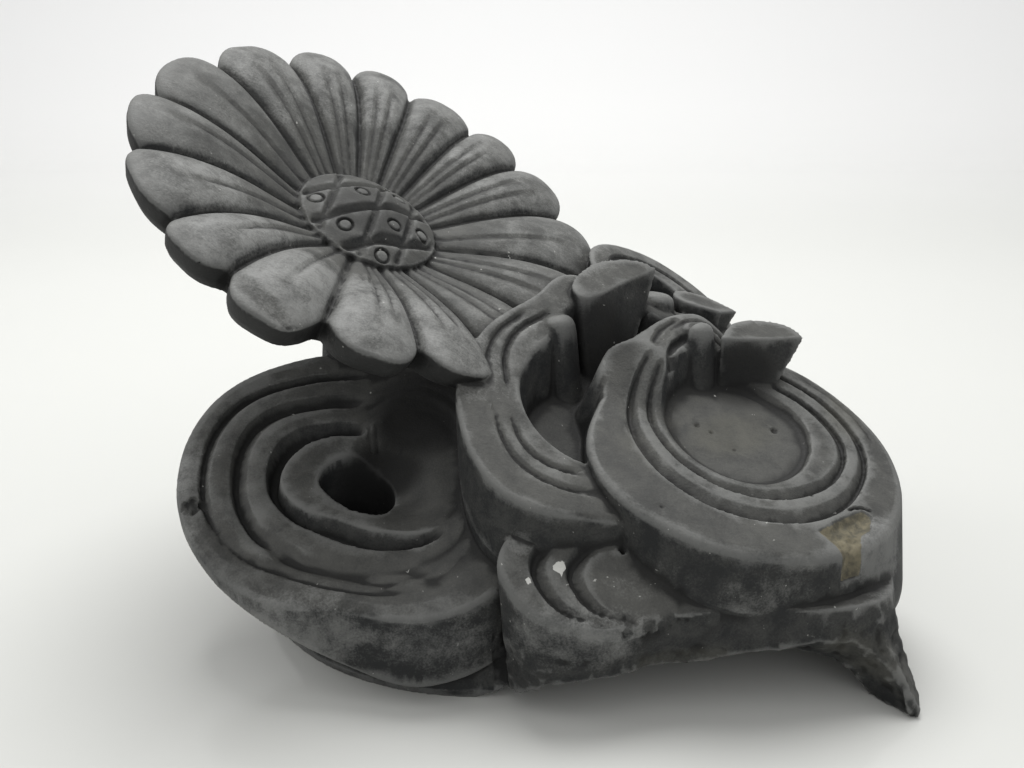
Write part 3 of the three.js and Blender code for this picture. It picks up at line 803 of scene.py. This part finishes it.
def petal_masks(points, normals):
    """Silvery bloom over the outer part of each petal, kept to faces turned up as partly painted
    sheen, and painted shade on the cut sides round its tip.
    """
    x, y, high = flower_place(points)
    r = np.hypot(x, y)
    turn = np.degrees(np.arctan2(y, x)) % 360
    which = (np.searchsorted(SEAMS, turn) - 1) % len(SEAMS)
    band = ease((r - 44) / 34) * (1 - 0.35 * ease((r - 108) / 12))
    face = normals @ np.array(FACING)
    here = (high > -8) * (r < 132) * (points[:, 2] > 118)
    # Bloom kept to faces turned up towards the light, partly painted sheen
    bloom = np.array(BLOOM)[which] * band * here * ease((face - 0.25) / 0.35)
    return bloom, 0.8 * here * ease((r - 92) / 8) * ease((0.45 - face) / 0.35)


def paint_masks(mesh, points, normals):
    """Stores where the skin is proud, hollow (for painted shade), facing up (for painted top
    light), silvery (partly painted sheen), dusty, darkened (mostly painted shade), bare and limy.
    """
    fine = smooth_over(mesh, bend_of(mesh, points, normals, 5), 1)
    broad = bend_of(mesh, points, normals, 26)
    bloom, petal_side_shade = petal_masks(points, normals)
    paint = np.zeros(len(points))
    for centre, size in PAINT:
        paint = np.maximum(paint, ease(blob(points, centre, (size * 1.3,) * 3) * 1.8))
    masks = {
        "proud": np.clip(fine / 0.3, 0, 1) * 0.6 + np.clip(broad / 2.5, 0, 1) * 0.4,
        # Hollows, which the clay darkens with painted shade
        "recess": np.clip(-fine / 0.3, 0, 1) * 0.6 + np.clip(-broad / 2.5, 0, 1) * 0.4,
        # Faces turned up; the clay paints them lighter and walls darker, painted top light
        "up": smooth_over(mesh, ease((normals[:, 2] - 0.3) / 0.3), 2),
        # Silvery bloom, partly painted sheen
        "sheen": np.maximum(bloom, strongest(points, SHEEN, 1.3)),
        "dust": strongest(points, DUST, 1.5),
        # Mostly painted shade, very dark: the dark patches and the petals' sides
        "shade_mask": np.maximum(petal_side_shade, strongest(points, DARK_SHADE_PATCHES, 1.6)),
        "chip": ease(inside(points, CHIP, CHIP_FLOOR) / 1.2),
        "paint": paint,
    }
    for name, values in masks.items():
        layer = mesh.attributes.new(name, "FLOAT", "POINT")
        layer.data.foreach_set("value", values.astype(np.float32))


# Shader maths

class Sum:
    """A socket with Python's operators, so that a formula adds its own Math nodes."""

    def __init__(self, shader, socket):
        self.shader = shader
        self.socket = socket

    def _math(self, operation, a, b, clamp=False):
        return self.shader.add("ShaderNodeMath", {"operation": operation, "use_clamp": clamp},
                               {0: a, 1: b})

    def __add__(self, other):
        return self._math("ADD", self, other)

    def __sub__(self, other):
        return self._math("SUBTRACT", self, other)

    def __mul__(self, other):
        return self._math("MULTIPLY", self, other)

    def __rsub__(self, other):
        return self._math("SUBTRACT", other, self)

    __radd__ = __add__

    def clamped(self):
        return self._math("ADD", self, 0.0, clamp=True)

    def above(self, low, high):
        """Nothing below low, one above high, eased between."""
        return self.shader.add("ShaderNodeMapRange", {"interpolation_type": "SMOOTHSTEP"},
                               {"Value": self, "From Min": low, "From Max": high})


class Shader:
    """A material's node tree, with one method that makes any node."""

    def __init__(self, name):
        self.material = bpy.data.materials.new(name)
        self.material.use_nodes = True
        self.tree = self.material.node_tree
        self.tree.nodes.clear()

    def add(self, kind, settings, values, out=0):
        """A node with its settings and inputs, and the socket it gives out."""
        node = self.tree.nodes.new(kind)
        for key, value in settings.items():
            setattr(node, key, value)
        for key, value in values.items():
            self.feed(node.inputs[key], value)
        return Sum(self, node.outputs[out]) if node.outputs else None

    def feed(self, socket, value):
        if isinstance(value, Sum):
            self.tree.links.new(value.socket, socket)
        else:
            socket.default_value = value

    def blend(self, factor, a, b):
        """Colour a where the factor is nothing, colour b where it is one."""
        return self.add("ShaderNodeMix", {"data_type": "RGBA"},
                        {MIX_FACTOR: factor, MIX_A: a, MIX_B: b}, out=MIX_RESULT)

    def noise(self, where, scale, detail, roughness, distortion=0.0):
        return self.add("ShaderNodeTexNoise", {}, {
            "Vector": where, "Scale": scale, "Detail": detail, "Roughness": roughness,
            "Distortion": distortion})

    def mask(self, name):
        return self.add("ShaderNodeAttribute", {"attribute_name": name}, {},
                        out=ATTRIBUTE_FACTOR)


def rgba(colour):
    return (*colour[:3], 1.0)


def smoked_clay(sizes):
    """Dark smoked clay with a silvery bloom that is partly painted sheen, tops painted lighter and
    walls darker as painted light, painted shade in hollows and on the petals' sides, dust in the
    hollows and worn edges.
    """
    s = Shader("smoked_clay")
    where = s.add("ShaderNodeTexCoord", {}, {}, out=OBJECT_PLACE)
    cloud = s.noise(where, 16.0, 5.0, 0.6)
    mottle = s.noise(where, 75.0, 7.0, 0.7, 0.3)
    grain = s.noise(where, 1100.0, 3.0, 0.6)
    speck = s.noise(where, 380.0, 2.0, 0.5)
    streak_place = s.add("ShaderNodeMapping", {}, {"Vector": where, "Scale": (1.0, 5.0, 1.4),
                                                  "Rotation": (0.2, 0.3, 0.5)})
    streak = s.noise(streak_place, 120.0, 5.0, 0.6, 0.3)
    proud, recess, up, shade_mask = (s.mask(n) for n in ("proud", "recess", "up", "shade_mask"))
    sheen, dust, chip, paint = (s.mask(n) for n in ("sheen", "dust", "chip", "paint"))

    tone = (cloud * 0.3 + mottle * 0.5 + grain * 0.2).above(0.36, 0.64)
    # Painted light: tops lighter and walls darker by how they face up, mixed with random tone
    pale = (up * 0.52 + tone * 0.62 - 0.12).clamped()
    base = s.blend(pale, rgba(sizes.clay_dark_and_shaded), rgba(sizes.clay_light_and_lit))
    # Silvery bloom with painted sheen: stronger on tops, kept out of hollows
    silver = sheen * 0.55 + mottle * 1.15 + grain * 0.5 + streak * 0.3 + cloud * 0.3 - 1.36
    silver = silver.above(0.0, 0.62)
    silver = silver * (1.0 - recess * 0.9) * (up * 0.35 + 0.65)
    base = s.blend(silver * 0.75, base, rgba(sizes.silver))
    rub = (proud * 1.2 + mottle * 0.7 + grain * 0.3 - 0.86).above(0.0, 0.7)
    base = s.blend(rub * 0.42, base, rgba(sizes.silver))
    # Painted shade in the hollows and bottoms of grooves
    painted_shade = (recess * 1.5 + mottle * 0.5 - 0.34).above(0.0, 0.7)
    base = s.blend(painted_shade * 0.8, base, rgba(sizes.painted_shade))
    dusty = (dust * 1.1 + mottle * 0.9 + grain * 0.2 - 0.72).above(0.0, 0.9)
    base = s.blend(dusty * 0.45, base, rgba(sizes.dust))
    # Painted shade from the dark patches and the petals' sides; one patch darkens the boss
    shaded = (shade_mask * 1.3 + mottle * 0.8 - 0.6).above(0.0, 0.9)
    base = s.blend(shaded * 0.85, base, rgba(sizes.painted_shade))
    bare = (chip * 1.4 + mottle * 0.9 + grain * 0.3 - 1.0).above(0.0, 0.4)
    mixed = (mottle * 0.7 + speck * 0.3).above(0.4, 0.6)
    bare_colour = s.blend(mixed, rgba(sizes.bare_dark), rgba(sizes.bare_clay))
    base = s.blend(bare, base, bare_colour)
    crumbs = speck.above(0.725, 0.76) * mottle.above(0.48, 0.6)
    base = s.blend(crumbs * 0.6, base, rgba(sizes.lime))
    lime = (paint * 1.2 + speck * 0.9 - 0.95).above(0.0, 0.12)
    base = s.blend(lime, base, rgba(sizes.lime))

    roughness = (0.56 + grain * 0.14 - silver * 0.12 - rub * 0.06 + dusty * 0.16 + bare * 0.25
                 + shade_mask * 0.1)
    height = grain * 0.3 + mottle * 0.55 + streak * 0.35 + speck * 0.2
    bump = s.add("ShaderNodeBump", {}, {"Strength": 0.5, "Distance": 0.001, "Height": height})
    skin = s.add("ShaderNodeBsdfPrincipled", {}, {
        "Base Color": base, "Roughness": roughness.clamped(), "Specular IOR Level": 0.2,
        "Normal": bump})
    s.add("ShaderNodeOutputMaterial", {}, {"Surface": skin})
    return s.material


def table_top(sizes):
    """Pale, faintly glossy board, painted lighter where it sweeps up behind."""
    s = Shader("pale_board")
    where = s.add("ShaderNodeTexCoord", {}, {}, out=OBJECT_PLACE)
    cloud = s.noise(where, 6.0, 4.0, 0.5)
    scuff = s.noise(where, 70.0, 6.0, 0.7)
    # Painted light: the board's colour grows lighter going back where it sweeps up, standing in for
    # the brighter backdrop
    distance = s.add("ShaderNodeSeparateXYZ", {}, {"Vector": where}, out=1)
    base = s.blend(distance.above(0.7, 1.7), rgba(sizes.board), rgba(sizes.board_light))
    marks = scuff.above(0.66, 0.74)
    base = s.blend(marks * 0.06, base, (0.45, 0.44, 0.41, 1.0))
    roughness = 0.1 + cloud * 0.08
    board = s.add("ShaderNodeBsdfPrincipled", {}, {
        "Base Color": base, "Roughness": roughness, "Specular IOR Level": 0.5})
    s.add("ShaderNodeOutputMaterial", {}, {"Surface": board})
    return s.material


# What a user would change

def colour(name, note, default):
    return bpy.props.FloatVectorProperty(name=name, description=note, default=default, size=3,
                                         subtype="COLOR", min=0.0, max=1.0)


class TileSizes(bpy.types.PropertyGroup):
    """Sizes and colours of the tile."""
    skin_step: bpy.props.FloatProperty(
        name="Skin Step", description="Size of the even skin's faces before it is thinned",
        default=0.85 * MM, unit="LENGTH", precision=5)
    skin_faces: bpy.props.IntProperty(
        name="Skin Triangles", description="Triangles kept when the skin is thinned",
        default=145000)
    longest_edge: bpy.props.FloatProperty(
        name="Longest Edge", description="Longer edges of the thinned skin are split",
        default=6.2 * MM, unit="LENGTH", precision=5)
    hand_wave: bpy.props.FloatProperty(
        name="Hand Waviness", description="Height of the slow unevenness left by hand modelling",
        default=0.16 * MM, unit="LENGTH", precision=5)
    # Dark and light clay are random tone, and also painted shade on walls and painted light on tops
    clay_dark_and_shaded: colour("Dark Clay", "Smoked clay where it took the smoke best",
                      (0.021, 0.022, 0.0225))
    clay_light_and_lit: colour("Light Clay", "Smoked clay where it is paler", (0.086, 0.086, 0.080))
    # Silver: the bloom, partly painted sheen, and worn edges
    silver: colour("Silver", "Silvery bloom and worn edges", (0.245, 0.248, 0.24))
    # Colour of painted shade in groove bottoms, hollows, the dark patches and the petals' sides
    painted_shade: colour("Soot", "Dark in the bottoms of grooves", (0.008, 0.008, 0.008))
    dust: colour("Dust", "Dust lying in the hollows", (0.115, 0.112, 0.092))
    bare_clay: colour("Bare Clay", "Unsmoked clay in the chip", (0.17, 0.152, 0.105))
    bare_dark: colour("Bare Clay Shade", "Darker clay in the chip", (0.085, 0.08, 0.062))
    lime: colour("Lime", "Specks and spots of lime", (0.55, 0.55, 0.52))


class StageSizes(bpy.types.PropertyGroup):
    """Sizes and colours of the stage."""
    board: colour("Board", "Pale board", (0.62, 0.625, 0.60))
    # Painted light: the sweep's lighter colour stands in for the brighter light behind
    board_light: colour("Light Board", "The board where it sweeps up behind", (0.92, 0.92, 0.915))
    lens: bpy.props.FloatProperty(name="Lens", description="Camera's focal length", default=40.43,
                                  unit="CAMERA")
    eye_height: bpy.props.FloatProperty(
        name="Eye Height", description="Camera's height over the board",
        default=290 * MM, unit="LENGTH")
    eye_distance: bpy.props.FloatProperty(
        name="Eye Distance", description="Camera's distance in front of the carver's frame",
        default=500 * MM, unit="LENGTH")
    look_down: bpy.props.FloatProperty(
        name="Look Down", description="Angle the camera looks down by",
        default=math.radians(20), subtype="ANGLE")


class TILE_OT_carve(bpy.types.Operator):
    """Makes the tile's form and gives it its clay"""
    bl_idname = "tile.carve"
    bl_label = "Carve Tile"

    def execute(self, context):
        sizes = context.scene.tile_sizes
        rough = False
        fine = 96 if rough else 240
        tile = hull(96)
        combine(tile, [left_scroll(fine), middle_scroll(fine), right_scroll(fine), front_lobe(fine),
                       rear_scroll(128), stem()], "UNION")
        combine(tile, [hollow(64), left_eye_cutter()], "DIFFERENCE")
        flower = [petals(16 if rough else 44, 12 if rough else 30), boss(120, 12 if rough else 36)]
        combine(tile, flower + fingers_and_wedges(), "UNION")
        combine(tile, [arch_cutter("front_arch", ((-135, 13), (-101, 13), (-88, 0), (-66, 0))),
                       arch_cutter("back_arch", ((70, 0), (160, 4)))], "DIFFERENCE")
        step = sizes.skin_step / MM * (2.0 if rough else 1.0)
        apply_modifier(tile, "REMESH", mode="VOXEL", voxel_size=step, adaptivity=0.0)
        apply_modifier(tile, "SMOOTH", factor=0.5, iterations=3)
        self.refine(tile)
        mesh = tile.data
        points, normals = points_of(mesh), normals_of(mesh)
        uneven = sizes.hand_wave / MM * waves(points, 26.0, 1, 2)
        points = points + normals * (uneven - carve_marks(points, normals))[:, None]
        place_points(mesh, points)
        triangles = sum(len(p.vertices) - 2 for p in mesh.polygons)
        apply_modifier(tile, "DECIMATE", decimate_type="COLLAPSE", use_collapse_triangulate=True,
                       ratio=min(1.0, sizes.skin_faces / triangles))
        self.shorten(tile, sizes.longest_edge / MM)
        self.finish(tile, sizes)
        return {"FINISHED"}

    def refine(self, tile):
        """Smaller faces on the boss, where the marks are finest."""
        bm = bmesh.new()
        bm.from_mesh(tile.data)
        heart = HEART + FACING * 2
        edges = [e for e in bm.edges if (e.verts[0].co - heart).length < BOSS + 1
                 and (e.verts[0].co - heart).dot(FACING) > -8]
        bmesh.ops.subdivide_edges(bm, edges=edges, cuts=1, use_grid_fill=True)
        bm.to_mesh(tile.data)
        bm.free()

    def shorten(self, tile, longest):
        """Splits the longest edges, so that masks kept at the corners don't run down walls."""
        bm = bmesh.new()
        bm.from_mesh(tile.data)
        for _ in range(2):
            edges = [e for e in bm.edges if e.calc_length() > longest]
            bmesh.ops.subdivide_edges(bm, edges=edges, cuts=1)
            bmesh.ops.triangulate(bm, faces=[f for f in bm.faces if len(f.verts) > 3])
        bm.to_mesh(tile.data)
        bm.free()

    def finish(self, tile, sizes):
        """Masks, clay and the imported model's frame for the carved tile."""
        mesh = tile.data
        tile.name = mesh.name = PIECE
        shade_smooth(mesh)
        points, normals = points_of(mesh), normals_of(mesh)
        paint_masks(mesh, points, normals)
        place_points(mesh, np.clip((points - OFFSET) * MM, *cad_box))
        mesh.materials.clear()
        mesh.materials.append(smoked_clay(sizes))
        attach(tile, "root")
        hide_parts(NODE)


class TILE_OT_stage(bpy.types.Operator):
    """Sets the board, the lights and the camera"""
    bl_idname = "tile.stage"
    bl_label = "Set Stage"

    def execute(self, context):
        sizes = context.scene.stage_sizes
        self.board(sizes)
        self.lights(context)
        self.camera(context, sizes)
        return {"FINISHED"}

    def board(self, sizes):
        """A board that sweeps up behind the tile."""
        bm = bmesh.new()
        front = bmesh.ops.create_vert(bm, co=(-BOARD_SIDE, BOARD_FRONT, 0.0))["vert"]
        front += bmesh.ops.create_vert(bm, co=(BOARD_SIDE, BOARD_FRONT, 0.0))["vert"]
        edge = [bm.edges.new(front)]
        sweep = [(BOARD_BEND + SWEEP * math.sin(t), SWEEP - SWEEP * math.cos(t))
                 for t in np.linspace(0, math.pi / 2, 13)]
        for y, z in sweep + [(BOARD_BEND + SWEEP, BOARD_TOP)]:
            edge, corners = extrude(bm, edge)
            for vert in corners:
                vert.co.y = y
                vert.co.z = z
        bmesh.ops.recalc_face_normals(bm, faces=bm.faces[:])
        board = make_object("board", bm)
        shade_smooth(board.data)
        board.data.materials.append(table_top(sizes))

    def lights(self, context):
        world = bpy.data.worlds.new("studio")
        context.scene.world = world
        world.use_nodes = True
        background = world.node_tree.nodes["Background"]
        background.inputs["Color"].default_value = (1.0, 1.0, 1.0, 1.0)
        background.inputs["Strength"].default_value = STUDIO_LIGHT
        context.scene.view_settings.view_transform = "Standard"
        for name, place, aim, size, watts in SOFTBOXES:
            lamp = bpy.data.lights.new(name, "AREA")
            lamp.shape = "DISK"
            lamp.size = size
            lamp.energy = watts
            holder = bpy.data.objects.new(name, lamp)
            way = Vector(aim) - Vector(place)
            holder.matrix_world = (Matrix.Translation(place)
                                   @ way.to_track_quat("-Z", "Y").to_matrix().to_4x4())
            context.scene.collection.objects.link(holder)

    def camera(self, context, sizes):
        lens = bpy.data.cameras.new("camera")
        lens.lens = sizes.lens
        lens.sensor_width = 36.0
        lens.dof.use_dof = False
        lens.clip_start = 0.01
        holder = bpy.data.objects.new("camera", lens)
        holder.location = (-OFFSET[0] * MM, -sizes.eye_distance - OFFSET[1] * MM, sizes.eye_height)
        holder.rotation_euler = (math.pi / 2 - sizes.look_down, 0.0, 0.0)
        context.scene.collection.objects.link(holder)
        context.scene.camera = holder


class TILE_PT_panel(bpy.types.Panel):
    """Lists the steps"""
    bl_idname = "TILE_PT_panel"
    bl_label = "Roof End Tile"
    bl_space_type = "VIEW_3D"
    bl_region_type = "UI"
    bl_category = "Tile"

    def draw(self, context):
        for step in (TILE_OT_stage, TILE_OT_carve):
            self.layout.operator(step.bl_idname)
        for group in (context.scene.tile_sizes, context.scene.stage_sizes):
            for name in group.__annotations__:
                self.layout.prop(group, name)


CLASSES = (TileSizes, StageSizes, TILE_OT_carve, TILE_OT_stage, TILE_PT_panel)


def register():
    for one in CLASSES:
        bpy.utils.register_class(one)
    bpy.types.Scene.tile_sizes = bpy.props.PointerProperty(type=TileSizes)
    bpy.types.Scene.stage_sizes = bpy.props.PointerProperty(type=StageSizes)


def unregister():
    del bpy.types.Scene.stage_sizes
    del bpy.types.Scene.tile_sizes
    for one in reversed(CLASSES):
        bpy.utils.unregister_class(one)


def main():
    register()
    bpy.ops.tile.stage()
    bpy.ops.tile.carve()


if __name__ == "__main__":
    main()
